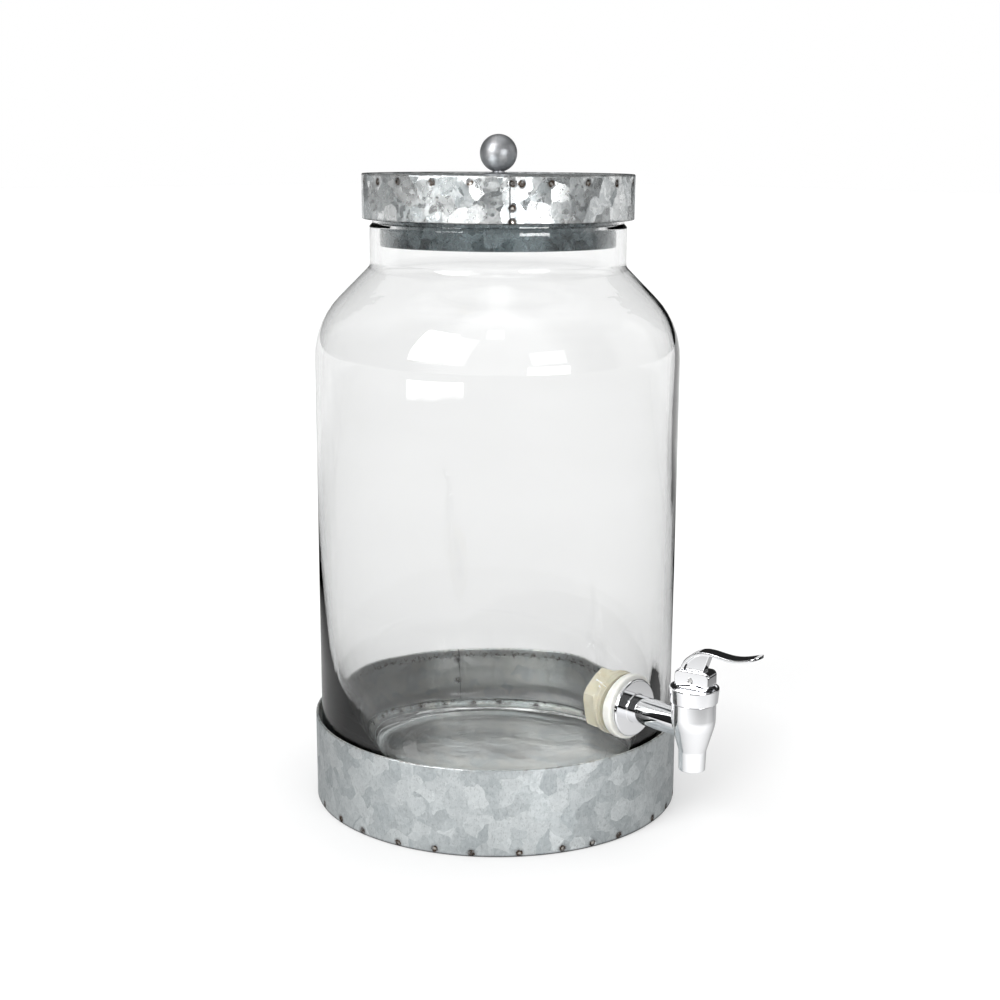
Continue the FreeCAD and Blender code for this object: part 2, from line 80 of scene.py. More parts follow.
# Camera, as the photographer stood
CAMERA_TURN = math.radians(44)
CAMERA_REACH, CAMERA_HEIGHT = 0.8749, 0.3510
CAMERA_PITCH, CAMERA_ROLL, CAMERA_YAW = (math.radians(d) for d in (12.09, 0.30, 0.11))
LENS, SENSOR = 59.1, 36.0

# Studio. Bearings are in degrees to the right of the camera, seen from the jar.
KEY_BOX, KEY_LEVEL = (-56, -21), 8.0  # bearings of the large soft box's sides, and its radiance
TABLE_R = 0.28  # gloss sees the white table as far as this, and a dark room past it
FLOOR_REACH = 12.0
FLOOR_DROP = 0.3 * MM  # keeps the floor clear of the tray's underside
LIT_MIDDLE = Vector((0, 0, 0.24))  # what the lights look at

CREASE = math.radians(38)  # faces that meet at more than this keep a sharp edge


# ---------------------------------------------------------------- shaders


class Shader:
    """One material and short calls that add nodes to it. Each call returns a socket."""

    def __init__(self, name):
        self.material = bpy.data.materials.new(name)
        self.material.use_nodes = True
        self.tree = self.material.node_tree
        self.surface = self.tree.nodes["Principled BSDF"]
        self.place = self.node("TexCoord", out="Object")

    def put(self, socket, value):
        if isinstance(value, bpy.types.NodeSocket):
            self.tree.links.new(value, socket)
        else:
            socket.default_value = value

    def node(self, kind, out=0, inputs=None, **settings):
        made = self.tree.nodes.new("ShaderNode" + kind)
        for key, value in settings.items():
            setattr(made, key, value)
        for key, value in (inputs or {}).items():
            self.put(made.inputs[key], value)
        return made.outputs[out]

    def set(self, **values):
        for key, value in values.items():
            self.put(self.surface.inputs[key.replace("_", " ")], value)

    def math(self, operation, a, b=0.0, clamp=False):
        return self.node("Math", inputs={0: a, 1: b}, operation=operation, use_clamp=clamp)

    def plus(self, a, b, clamp=False):
        return self.math("ADD", a, b, clamp)

    def minus(self, a, b, clamp=False):
        return self.math("SUBTRACT", a, b, clamp)

    def times(self, a, b):
        return self.math("MULTIPLY", a, b)

    def larger(self, a, b):
        return self.math("MAXIMUM", a, b)

    def vector(self, operation, a, b=(0, 0, 0)):
        return self.node("VectorMath", inputs={0: a, 1: b}, operation=operation)

    def scaled(self, vector, factor):
        return self.node("VectorMath", inputs={0: vector, "Scale": factor}, operation="SCALE")

    def stretched(self, x, y, z, vector=None):
        return self.vector("MULTIPLY", vector or self.place, (x, y, z))

    def noise(self, size, detail=3.0, vector=None, out="Fac", rough=0.5, distortion=0.0):
        """Noise whose features are about size metres across."""
        inputs = {"Vector": vector or self.place, "Scale": 1 / size, "Detail": detail}
        inputs.update({"Roughness": rough, "Distortion": distortion})
        return self.node("TexNoise", out=out, inputs=inputs)

    def cells(self, size, vector):
        """A random colour for each cell about size metres across."""
        return self.node("TexVoronoi", out="Color", inputs={"Vector": vector, "Scale": 1 / size})

    def part(self, vector, index):
        return self.node("SeparateXYZ", out=index, inputs={0: vector})

    def span(self, value, low, high, to_low=0.0, to_high=1.0):
        """Value mapped from low..high to to_low..to_high, clamped."""
        inputs = {0: value, 1: low, 2: high, 3: to_low, 4: to_high}
        return self.node("MapRange", inputs=inputs)

    def ramp(self, value, *stops):
        """Colour ramp; each stop is (position, (r, g, b))."""
        made = self.tree.nodes.new("ShaderNodeValToRGB")
        while len(made.color_ramp.elements) < len(stops):
            made.color_ramp.elements.new(0.5)
        for element, (position, colour) in zip(made.color_ramp.elements, stops):
            element.position, element.color = position, (*colour, 1)
        self.put(made.inputs[0], value)
        return made.outputs[0]

    def mix(self, factor, a, b):
        inputs = {0: factor, 6: a, 7: b}
        for key in (6, 7):
            if isinstance(inputs[key], tuple):
                inputs[key] = (*inputs[key], 1)
        return self.node("Mix", out=2, inputs=inputs, data_type="RGBA")

    def bump(self, height, distance, strength=1.0, normal=None):
        inputs = {"Height": height, "Distance": distance, "Strength": strength}
        if normal is not None:
            inputs["Normal"] = normal
        return self.node("Bump", inputs=inputs)

    def attribute(self, name):
        return self.node("Attribute", out="Fac", attribute_name=name)

    def bearing(self, vector):
        """Degrees that a place or a direction lies to the right of the camera, seen from the jar.
        It turns with CAMERA_TURN alone, so it stays put when another view moves the camera."""
        east, north = self.part(vector, 0), self.part(vector, 1)
        turn = self.math("ARCTAN2", east, self.times(north, -1))
        turn = self.plus(turn, CAMERA_TURN)
        turn = self.node("Math", inputs={0: turn, 1: math.pi, 2: -math.pi}, operation="WRAP")
        return self.times(turn, 180 / math.pi)

    def between(self, value, low, high, soft):
        """1 from low to high, falling to 0 over soft outside them."""
        return self.times(self.span(value, low - soft, low), self.span(value, high + soft, high))


def galvanised(name, crystal, dark, light, tilt, rough, seed):
    """Hot-dip zinc: feathered crystals that each lean a little and so catch the light differently.
    The 'inner' attribute marks the inside of the tray, which is glossier and whose colour is
    painted brighter and warmer: painted light standing in for light in the dim cavity."""
    s = Shader(name)
    shifted = s.vector("ADD", s.place, (seed, 0.37 * seed, 0.61 * seed))
    swirl = s.vector("SUBTRACT", s.noise(crystal * 0.9, 1, shifted, out="Color"), (0.5, 0.5, 0.5))
    warped = s.vector("ADD", shifted, s.scaled(swirl, crystal * 0.8))
    crystals = s.cells(crystal, warped)
    feathers = s.cells(crystal * 0.22, s.vector("ADD", warped, s.scaled(crystals, crystal * 4)))
    lean = s.vector("ADD", s.scaled(crystals, 0.9), s.scaled(feathers, 0.1))
    lean = s.vector("SUBTRACT", lean, (0.5, 0.5, 0.5))
    inner = s.attribute("inner")
    tilt = s.times(s.minus(1.0, s.times(inner, 0.8)), tilt)
    normal = s.node("NewGeometry", out="Normal")
    normal = s.vector("NORMALIZE", s.vector("ADD", normal, s.scaled(lean, tilt)))
    shade = s.plus(s.times(s.part(crystals, 1), 0.7), s.times(s.part(feathers, 2), 0.3))
    bloom = s.noise(crystal * 2.6, 5, shifted, rough=0.6)
    shade = s.plus(s.times(shade, 0.7), s.times(bloom, 0.3))
    middle = tuple((a + b) / 2 for a, b in zip(dark, light))
    colour = s.ramp(shade, (0.22, dark), (0.5, middle), (0.78, light))
    speck = s.noise(0.8 * MM, 3, s.stretched(1, 1, 0.6, shifted), rough=0.6)
    outside = s.minus(1.0, inner, clamp=True)
    specks = s.times(s.span(speck, 0.54, 0.68, 0, 0.4), outside)
    colour = s.mix(specks, colour, tuple(c * 0.5 for c in dark))
    etched = s.noise(1.3 * MM, 3, s.stretched(1, 1, 0.35, shifted), rough=0.7)
    colour = s.mix(s.times(s.span(etched, 0.52, 0.62, 0, 0.22), outside), colour, light)
    # Painted light: inside the tray the colour is lifted towards warm white, standing in for light
    # in the dim cavity.
    inside_mottle = s.plus(s.times(s.part(crystals, 1), 0.3), s.times(s.noise(22 * MM, 2), 0.7))
    painted_light_inside = s.ramp(inside_mottle, (0.36, (0.80, 0.85, 0.85)), (0.64, (1.0, 1.0, 0.95)))
    colour = s.mix(inner, colour, painted_light_inside)
    rough = s.minus(rough, s.times(inner, 0.10))
    uneven = s.times(s.span(s.part(feathers, 0), 0, 1, -0.1, 0.14), outside)
    roughness = s.plus(rough, uneven)
    colour, roughness = weld_marks(s, colour, roughness)
    height = s.plus(s.times(etched, 0.6), s.times(speck, 0.4))
    normal = s.bump(height, 0.05 * MM, s.times(outside, 0.5), normal)
    dished = s.noise(26 * MM, 2, s.stretched(1, 1, 0.6, warped), distortion=0.6)
    normal = s.bump(dished, s.times(inner, 2.2 * MM), 1.0, normal)
    s.set(Metallic=0.85, Base_Color=colour, Roughness=roughness, Normal=normal)
    return s.material


def weld_marks(s, colour, roughness):
    """Adds the scorched ring, the core and the rust that weld spots leave. The 'weld' attribute is
    WELD_REACH at a spot's centre and falls by 1 for each mm away from it."""
    ragged = s.times(s.minus(s.noise(1.1 * MM, 3), 0.5), 1.5)
    distance = s.plus(s.minus(WELD_REACH, s.attribute("weld")), ragged)
    halo = s.span(distance, 3.4, 1.7, 0, 0.6)
    colour = s.mix(halo, colour, (0.17, 0.175, 0.18))
    ring = s.times(s.span(distance, 2.1, 1.5), s.span(distance, 0.2, 0.9))
    ring = s.times(ring, s.span(s.noise(1.6 * MM, 2), 0.36, 0.5, 0.35, 1.0))
    burnt = s.noise(0.9 * MM, 2)
    scorch = s.ramp(burnt, (0.35, (0.018, 0.015, 0.013)), (0.65, (0.10, 0.065, 0.045)))
    colour = s.mix(ring, colour, scorch)
    core = s.span(distance, 0.9, 0.3)
    pale = s.span(s.noise(14 * MM, 1), 0.45, 0.55)
    colour = s.mix(core, colour, s.mix(pale, (0.42, 0.39, 0.35), (0.06, 0.045, 0.035)))
    rust = s.times(s.attribute("rust"), s.span(s.noise(2.6 * MM, 4, rough=0.7), 0.50, 0.60))
    flakes = s.mix(s.noise(0.8 * MM, 2), (0.21, 0.11, 0.05), (0.045, 0.03, 0.022))
    colour = s.mix(rust, colour, flakes)
    # Darkens towards black along the seams, which is grime, and along edges and the tray's foot,
    # which is painted shade: at the foot it is a painted contact shadow.
    colour = s.mix(s.attribute("grime_and_shade"), colour, (0.035, 0.036, 0.037))
    worn = s.larger(s.larger(ring, rust), s.attribute("grime_and_shade"))
    roughness = s.plus(roughness, s.times(worn, 0.35), clamp=True)
    return colour, roughness


def clear_glass():
    """Pressed soda-lime glass: a faint grey tint that deepens with thickness, and drawn ripples."""
    s = Shader("jar_glass")
    s.set(Base_Color=(0.98, 0.98, 0.979, 1), Transmission_Weight=1.0, IOR=1.5, Roughness=0.0)
    drawn = s.noise(28 * MM, 2, s.stretched(1, 1, 0.25))
    orange_peel = s.noise(7 * MM, 1, s.stretched(1, 1, 0.6))
    streaks = s.noise(6 * MM, 2, s.stretched(1, 1, 0.04))
    height = s.plus(s.times(drawn, 0.85), s.times(orange_peel, 0.12))
    height = s.plus(height, s.times(streaks, 0.10))
    s.set(Normal=s.bump(height, 0.35 * MM, 0.35))
    absorb = s.node("VolumeAbsorption", inputs={"Color": (0.69, 0.71, 0.71, 1), "Density": 34.0})
    output = s.tree.nodes["Material Output"]
    s.tree.links.new(absorb, output.inputs["Volume"])
    return s.material


def chrome():
    """Bright chrome plate over a slightly wavy die casting, with faint wipe marks."""
    s = Shader("chrome_plate")
    wipe = s.noise(2.2 * MM, 4, s.stretched(1, 1, 0.2), rough=0.65)
    colour = s.mix(s.noise(9 * MM, 2), (0.86, 0.87, 0.89), (0.92, 0.92, 0.93))
    s.set(Metallic=1.0, Base_Color=colour)
    s.set(Roughness=s.span(wipe, 0.4, 0.75, 0.025, 0.075))
    s.set(Normal=s.bump(s.noise(6 * MM, 1), 0.05 * MM, 0.25))
    return s.material


def satin_zinc():
    """Cast knob: grey satin metal with a fine sand texture and a few rub marks."""
    s = Shader("satin_zinc")
    sand = s.noise(0.35 * MM, 3, rough=0.6)
    rubbed = s.span(s.noise(5 * MM, 4, rough=0.7), 0.52, 0.66)
    s.set(Metallic=0.9, Base_Color=s.mix(rubbed, (0.37, 0.38, 0.395), (0.47, 0.47, 0.48)))
    s.set(Roughness=s.span(sand, 0.3, 0.7, 0.38, 0.50), Normal=s.bump(sand, 0.04 * MM, 0.5))
    return s.material


def bright_steel():
    """Turned or drawn stainless steel with fine marks round its axis."""
    s = Shader("bright_steel")
    turned = s.noise(0.5 * MM, 2, s.stretched(0.15, 0.15, 3))
    s.set(Metallic=1.0, Base_Color=s.mix(turned, (0.52, 0.52, 0.51), (0.66, 0.66, 0.65)))
    s.set(Roughness=s.span(turned, 0.3, 0.7, 0.18, 0.34), Normal=s.bump(turned, 0.02 * MM, 0.4))
    return s.material


def moulded(name, colour, deep, roughness, scatter):
    """Moulded plastic or silicone: light goes a little way in; flow marks and a fine texture."""
    s = Shader(name)
    flow = s.noise(7 * MM, 3, s.stretched(1, 0.4, 1), distortion=1.2)
    fine = s.noise(0.4 * MM, 3)
    s.set(Base_Color=s.mix(s.span(flow, 0.35, 0.65), colour, deep), Subsurface_Weight=scatter)
    s.surface.inputs["Subsurface Radius"].default_value = (1.0, 0.85, 0.6)
    s.surface.inputs["Subsurface Scale"].default_value = 2.5 * MM
    s.set(Roughness=s.span(fine, 0.3, 0.7, roughness - 0.05, roughness + 0.08))
    s.set(Normal=s.bump(fine, 0.02 * MM, 0.4))
    return s.material


# ---------------------------------------------------------------- meshes


def add_object(name, data):
    made = bpy.data.objects.new(name, data)
    bpy.context.scene.collection.objects.link(made)
    return made


def rounded_outline(corners, step):
    """Points along an open outline whose corners are (radius, z, fillet), a step or less apart
    on its straight runs."""
    corners = [(Vector((x, z)), fillet) for x, z, fillet in corners]
    points = [corners[0][0]]
    for (before, _), (here, fillet), (after, _) in zip(corners, corners[1:], corners[2:]):
        back, ahead = (before - here).normalized(), (after - here).normalized()
        if fillet == 0:
            points.append(here)
            continue
        half = back.angle(ahead) / 2
        centre = here + (back + ahead).normalized() * (fillet / math.sin(half))
        start = here + back * (fillet / math.tan(half)) - centre
        sweep = math.pi - 2 * half
        if back.cross(ahead) > 0:
            sweep = -sweep
        steps = max(4, math.ceil(abs(sweep) / math.radians(7)))
        for i in range(steps + 1):
            points.append(centre + Matrix.Rotation(sweep * i / steps, 2) @ start)
    points.append(corners[-1][0])
    fine = [points[0]]
    for a, b in zip(points, points[1:]):
        count = max(1, round((b - a).length / step))
        fine += [a.lerp(b, (i + 1) / count) for i in range(count)]
    return np.array([tuple(p) for p in fine])


def turned_mesh(name, profile, angles, shift, closed=True):
    """Mesh of revolution about Z from (radius, z) points, which shift(r, z, angle, index) moves.
    A closed profile is a loop that runs up the outside; an open one starts and ends on the axis."""
    angle = np.asarray(angles)[:, None]
    index = np.arange(len(profile))[None, :]
    r, z = profile[None, :, 0] + 0 * angle, profile[None, :, 1] + 0 * angle
    r, z = shift(r, z, angle, index)
    points = np.stack([r * np.sin(angle), -r * np.cos(angle), z], -1).reshape(-1, 3)
    rows, columns = r.shape
    i = np.arange(rows)[:, None]
    k = np.arange(columns if closed else columns - 1)[None, :]
    i2, k2 = (i + 1) % rows, (k + 1) % columns
    quads = np.stack([i * columns + k, i2 * columns + k, i2 * columns + k2, i * columns + k2], -1)
    mesh = bpy.data.meshes.new(name)
    mesh.from_pydata(points.tolist(), [], quads.reshape(-1, 4).tolist())
    if not closed:
        work = bmesh.new()
        work.from_mesh(mesh)
        bmesh.ops.remove_doubles(work, verts=work.verts, dist=1e-7)
        work.to_mesh(mesh)
        work.free()
    return add_object(name, mesh)


def finish_piece(piece, body, slot, material, *nodes, sharp=CREASE):
    """Gives a new piece its shading, its material and its place in the frame, and hides the CAD
    nodes that it stands for."""
    piece.data.materials.clear()
    piece.data.materials.append(material)
    piece.data.polygons.foreach_set("use_smooth", [True] * len(piece.data.polygons))
    piece.data.set_sharp_from_angle(angle=sharp)
    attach(piece, body)
    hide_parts(*nodes)


def store(piece, name, values):
    """Keeps one value for each point, for the materials to read."""
    attribute = piece.data.attributes.new(name, "FLOAT", "POINT")
    attribute.data.foreach_set("value", np.asarray(values, np.float32))


def place_of(piece):
    """(x, y, z) arrays of a piece's points."""
    points = np.empty(len(piece.data.vertices) * 3, np.float32)
    piece.data.vertices.foreach_get("co", points)
    return points.reshape(-1, 3).astype(float).T


def ripple(angle, z, seed, around, along, waves=9):
    """Smooth wobble of about -1..1 over a turned surface: a few sine waves, seeded."""
    rng = np.random.default_rng(seed)
    total = 0
    for _ in range(waves):
        turns, rise = rng.integers(1, around + 1), rng.uniform(-along, along)
        phase = rng.uniform(0, FULL_TURN)
        total = total + rng.uniform(0.4, 1.0) * np.sin(turns * angle + rise * z + phase)
    return total / (0.5 * waves)


def seam_angles(seam, count):
    """Evenly spaced angles round a lapped band, with two close together at the lap's step."""
    edge = math.radians(0.03)
    return np.linspace(seam + edge, seam + FULL_TURN - edge, count)


def lap_rise(angle, seam):
    """How far a lapped band stands proud of its own radius: a sheet at the seam, then less."""
    past = np.clip((angle - seam) / LAP, 0, 1)
    return SHEET * (1 - past * past * (3 - 2 * past))


def weld_distance(angle, z, radius, welds):
    """Distance in mm from each point of a band to the nearest weld; each weld is (angle, z)."""
    nearest = np.full(np.broadcast(angle, z).shape, WELD_REACH)
    for weld_angle, weld_z in welds:
        along = radius * ((angle - weld_angle + math.pi) % FULL_TURN - math.pi)
        nearest = np.minimum(nearest, np.hypot(along, z - weld_z) / MM)
    return nearest


def weld_dent(distance):
    """Depth of the dimple that an electrode leaves, with a low lip round it; distance is in mm."""
    scaled = distance * MM / WELD_R
    pit = np.exp(-(scaled**4))
    lip = np.exp(-(((scaled - 1.35) / 0.35) ** 2))
    pucker = np.exp(-((scaled / 3.2) ** 2))
    return (0.26 * pit - 0.06 * lip + 0.08 * pucker) * MM


def camera_side(degrees):
    """Angle round the jar of something seen so many degrees to the right of the jar's middle."""
    return math.radians(degrees) - CAMERA_TURN


def spaced_welds(seen, pitch, z, seed):
    """Weld spots at the listed bearings where the camera sees them, and at an uneven pitch round
    the back.
    """
    rng = np.random.default_rng(seed)
    angles = [camera_side(d) for d in seen]
    at = seen[-1] + pitch
    while at < 360 + seen[0] - 0.6 * pitch:
        angles.append(camera_side(at + rng.uniform(-0.14, 0.14) * pitch))
        at += pitch
    return [(a, z + rng.uniform(-0.35, 0.35) * MM) for a in angles]


TRAY_WELDS_SEEN = [-68, -55, -44, -30, -18, -7, 7, 20, 30, 40, 57, 68]
TRAY_WELDS = spaced_welds(TRAY_WELDS_SEEN, 12.2, TRAY_WELD_Z, 3)
TRAY_SEAM_WELDS = [(TRAY_SEAM + 0.012, TRAY_TOP * share) for share in (0.25, 0.55, 0.84)]
LID_WELDS_SEEN = [-58, -44, -27, -11, 9, 21, 38, 56, 75]
LID_WELDS = spaced_welds(LID_WELDS_SEEN, 17.6, LID_WELD_Z, 5)
LID_SEAM_WELDS = [(LID_SEAM + 0.016, LID_TOP - d * MM) for d in (3.7, 15.3, 22.0)]


def band(name, radius, profile, seam, welds, columns, seed, wobble):
    """Lapped sheet band, dented at its welds and not quite round. Returns the piece and the
    radius, z and angle of its points."""
    middle = radius - 0.5 * SHEET

    def shift(r, z, angle, index):
        outside = np.clip((r - middle) / (0.5 * SHEET), 0, 1)
        dent = weld_dent(weld_distance(angle, z, radius, welds))
        waves = ripple(angle, z, seed, 9, 60) * wobble
        waves = waves + ripple(angle, z, seed + 1, 40, 260) * 0.12 * wobble
        return r + outside * (lap_rise(angle, seam) - dent) + waves, z

    piece = turned_mesh(name, profile, seam_angles(seam, columns), shift)
    x, y, z = place_of(piece)
    angle = np.arctan2(x, -y)
    store(piece, "weld", WELD_REACH - weld_distance(angle, z, radius, welds))
    return piece, np.hypot(x, y), z, angle


def close_to(value, target, width):
    """1 at the target, falling to 0 over about width on both sides."""
    return np.exp(-(((value - target) / width) ** 2))


def tray_band(material):
    """The tray's wall with its folded rim. The foot has finer faces, for its weld dimples."""
    outer, inner, hem = TRAY_R, TRAY_R - SHEET, TRAY_R - 2 * SHEET
    fold, hem_z = TRAY_TOP - SHEET, TRAY_TOP - HEM
    weld_strip = 5.2 * MM
    corners = [(outer - 0.3 * MM, 0, 0), (outer, 0.25 * MM, 0), (outer, weld_strip, 0)]
    low = rounded_outline(corners, 0.55 * MM)
    wall = rounded_outline([(outer, weld_strip, 0), (outer, fold, 0)], 2.4 * MM)[1:]
    bend = np.linspace(0.25, math.pi, 8)
    turn = [(inner + SHEET * math.cos(a), fold + SHEET * math.sin(a)) for a in bend]
    back = [(hem, hem_z + 0.2 * MM), (hem + 0.15 * MM, hem_z), (inner, hem_z - 0.05 * MM)]
    inside = rounded_outline([(inner, hem_z - 0.6 * MM, 0), (inner, 0.1 * MM, 0)], 2.0 * MM)
    profile = np.vstack([low, wall, turn, back, inside])
    welds = TRAY_WELDS + TRAY_SEAM_WELDS
    made = band("tray_wall", TRAY_R, profile, TRAY_SEAM, welds, 1150, 11, 0.22 * MM)
    piece, radius, z, angle = made
    hem_edge = close_to(z, hem_z, 0.9 * MM) * (radius < TRAY_R - 0.5 * SHEET)
    rim = np.clip((z - TRAY_TOP + 0.9 * MM) / MM, 0, 1)
    store(piece, "rust", np.clip(0.95 * hem_edge + 0.55 * rim, 0, 1))
    seam = close_to((angle - TRAY_SEAM) * TRAY_R, 0, 0.25 * MM)
    # The dark line along the foot is a painted contact shadow; the line down the seam is grime.
    store(piece, "grime_and_shade", np.clip(1.1 * close_to(z, 0, 0.7 * MM) + 0.7 * seam, 0, 1))
    store(piece, "inner", 0.8 * (radius < TRAY_R - 0.6 * SHEET))
    finish_piece(piece, "tray", "galvanised_tray", material, "base_band")


def lid_band(material):
    """The lid's skirt, with a slightly rolled top edge and a burr along its foot."""
    outer, inner = LID_R, LID_R - SHEET
    face = [
        (outer - 0.45 * MM, LID_LOW, 0),
        (outer, LID_LOW + 0.3 * MM, 0),
        (outer, LID_TOP - 0.5 * MM, 0),
    ]
    outside = rounded_outline(face, 0.6 * MM)
    back = [(outer - 0.35 * MM, LID_TOP, 0), (inner, LID_TOP - 0.1 * MM, 0), (inner, LID_LOW, 0)]
    inside = rounded_outline(back, 2 * MM)
    welds = LID_WELDS + LID_SEAM_WELDS
    profile = np.vstack([outside, inside])
    piece, _, z, angle = band("lid_skirt", LID_R, profile, LID_SEAM, welds, 900, 23, 0.15 * MM)
    # Darker lines along both edges of the skirt and down its seam.
    edges = close_to(z, LID_LOW, 0.35 * MM) + close_to(z, LID_TOP, 0.35 * MM)
    seam = close_to((angle - LID_SEAM) * LID_R, 0, 0.22 * MM)
    store(piece, "grime_and_shade", np.clip(0.75 * edges + 0.8 * seam, 0, 1))
    rims = close_to(z, LID_TOP, 1.0 * MM) + close_to(z, LID_LOW, 0.8 * MM)
    store(piece, "rust", 0.35 * np.clip(rims, 0, 1))
    finish_piece(piece, "lid", "galvanised_lid", material, "lid_band")


def lid_top(material):
    """The lid's disc, a little dished and oil-canned, with its turned edge and the screw hole."""
    low, high = LID_PLATE_TOP - SHEET, LID_PLATE_TOP
    edge, flange, hole = LID_R - SHEET - FIT, 6 * MM, 2.2 * MM
    knob_r = 9.6 * MM
    corners = [
        (hole, low, 0),
        (edge - SHEET, low, 0.4 * MM),
        (edge - SHEET, high - flange, 0),
        (edge, high - flange, 0),
        (edge, high, 1.1 * MM),
        (hole, high, 0),
    ]
    profile = rounded_outline(corners, 1.6 * MM)

    def shift(r, z, angle, index):
        from_edge = np.clip((edge - 3 * MM - r) / (20 * MM), 0, 1)
        from_knob = np.clip((r - 10 * MM) / (12 * MM), 0, 1)
        canned = ripple(angle, r * 3, 31, 5, 40) * 0.22 * MM - 0.15 * MM
        return r, z + from_edge * from_knob * canned

    angles = np.linspace(0, FULL_TURN, 360, endpoint=False)
    piece = turned_mesh("lid_top", profile, angles, shift)
    x, y, z = place_of(piece)
    radius = np.hypot(x, y)
    rim, under_knob = close_to(radius, edge, 1.2 * MM), close_to(radius, knob_r, 0.8 * MM)
    store(piece, "rust", 0.8 * rim + 0.4 * under_knob)
    # A dark line round the disc's edge.
    store(piece, "grime_and_shade", 0.8 * close_to(radius, edge, 0.3 * MM))
    finish_piece(piece, "lid", "galvanised_lid", material, "lid_plate")


def tray_floor(material):
    """The tray's floor with its turned-up edge, marked by the same welds as the band."""
    edge = TRAY_R - SHEET - FIT
    corners = [
        (0, PLATE_LOW, 0),
        (edge, PLATE_LOW, 1.2 * MM),
        (edge, PLATE_TOP, 0),
        (edge - SHEET, PLATE_TOP, 0),
        (edge - SHEET, PLATE_LOW + SHEET, 0.6 * MM),
        (0, PLATE_LOW + SHEET, 0),
    ]
    profile = rounded_outline(corners, 2.0 * MM)

    def shift(r, z, angle, index):
        share = np.clip(r / (30 * MM), 0, 1) * np.clip((edge - 4 * MM - r) / (20 * MM), 0, 1)
        top = z > PLATE_LOW + 0.5 * SHEET
        return r, z + share * top * (ripple(angle, r * 3, 41, 4, 60) - 1.1) * 0.2 * MM

    angles = np.linspace(0, FULL_TURN, 900, endpoint=False)
    piece = turned_mesh("tray_floor", profile, angles, shift, closed=False)
    x, y, z = place_of(piece)
    radius, angle = np.hypot(x, y), np.arctan2(x, -y)
    distance = weld_distance(angle, z + (radius < edge - 2 * SHEET), edge, TRAY_WELDS)
    store(piece, "weld", WELD_REACH - distance)
    rim, wall = close_to(z, PLATE_TOP, 0.8 * MM), close_to(radius, edge - SHEET, 0.8 * MM)
    store(piece, "rust", 0.9 * rim + 0.5 * wall)
    # A dark line along the top of the turned-up edge.
    store(piece, "grime_and_shade", 0.6 * close_to(z, PLATE_TOP, 0.3 * MM))
    store(piece, "inner", np.full(len(x), 0.9))
    finish_piece(piece, "tray", "galvanised_tray", material, "base_plate")


def jar(material):
    """The glass: floor with a kick-up, round heel and shoulder, grooved neck, rounded lip and
    uneven walls, which thicken towards the foot except round the tap."""
    wall, neck_r, neck_wall = 4.0 * MM, 67.6 * MM, 4.3 * MM
    shoulder = 358.0 * MM  # on the 45 degree shoulder cone, radius plus height is this
    shoulder_fillet, neck_fillet, groove_fillet, lip_fillet = 45 * MM, 5 * MM, 1 * MM, 1.8 * MM
    inner_r, mouth_r = JAR_R - wall, neck_r - neck_wall
    inner_shoulder = shoulder - wall * math.sqrt(2)
    floor, kick = JAR_FOOT + 9.5 * MM, 2.5 * MM
    groove_r, groove_low, groove_high, groove_slope = 66.2 * MM, 311.0 * MM, 316.5 * MM, 1.6 * MM
    settling = 11.5 * MM  # the most that the glass thickens at the foot
    hole_r = 8.7 * MM
    outline = [
        (0, JAR_FOOT + kick, 0),
        (JAR_R - 16 * MM, JAR_FOOT, 12 * MM),
        (JAR_R, JAR_FOOT, 8 * MM),
        (JAR_R, shoulder - JAR_R, shoulder_fillet),
        (neck_r, shoulder - neck_r, neck_fillet),
        (neck_r, groove_low, groove_fillet),
        (groove_r, groove_low + groove_slope, groove_fillet),
        (groove_r, groove_high - groove_slope, groove_fillet),
        (neck_r, groove_high, groove_fillet),
        (neck_r, MOUTH_Z, lip_fillet),
        (mouth_r, MOUTH_Z, lip_fillet),
        (mouth_r, inner_shoulder - mouth_r, neck_fillet + wall),
        (inner_r, inner_shoulder - inner_r, shoulder_fillet - wall),
        (inner_r, floor, 15 * MM),
        (0, floor + kick, 0),
    ]
    profile = rounded_outline(outline, 2.6 * MM)
    top = int(np.argmax(profile[:, 1]))

    def shift(r, z, angle, index):
        inside = index > top
        aside = ((angle + math.pi) % FULL_TURN - math.pi) / 0.3
        tapped = np.exp(-((aside**2 + ((z - TAP_Z) / (34 * MM)) ** 2) ** 2))
        body = np.clip((MOUTH_Z - 40 * MM - z) / (30 * MM), 0.15, 1)
        body = body * np.clip((z - 4 * MM) / (20 * MM), 0, 1)
        lean = 0.62 + 0.38 * np.cos(angle - camera_side(-80))
        fade = np.exp(-np.clip(z - 36 * MM, 0, None) / (30 * MM))
        settled = settling * lean * fade * (r > 60 * MM)
        r = r - np.where(inside, settled * (1 - tapped), 0)
        walls = np.clip(r / (60 * MM), 0, 1) * body * (1 - tapped)
        outer_wave = ripple(angle, z, 51, 5, 28) * 0.25 * MM
        inner_wave = ripple(angle, z, 52, 7, 45) * 0.55 * MM
        inner_wave = inner_wave + ripple(angle, z, 53, 16, 25) * 0.10 * MM
        wave = np.where(inside, outer_wave + inner_wave, outer_wave)
        low = inside & (z < floor + 20 * MM)
        lift = np.where(low, ripple(angle, r * 2, 54, 3, 50) * 0.5 * MM, 0)
        return r + walls * wave, z + lift * np.clip(r / (20 * MM), 0, 1)

    angles = np.linspace(0, FULL_TURN, 420, endpoint=False)
    piece = turned_mesh("jar_glass", profile, angles, shift, closed=False)
    drill(piece, hole_r, Vector((0, -JAR_R, TAP_Z)), 30 * MM)
    finish_piece(piece, "jar", "clear_glass", material, "glass_jar")


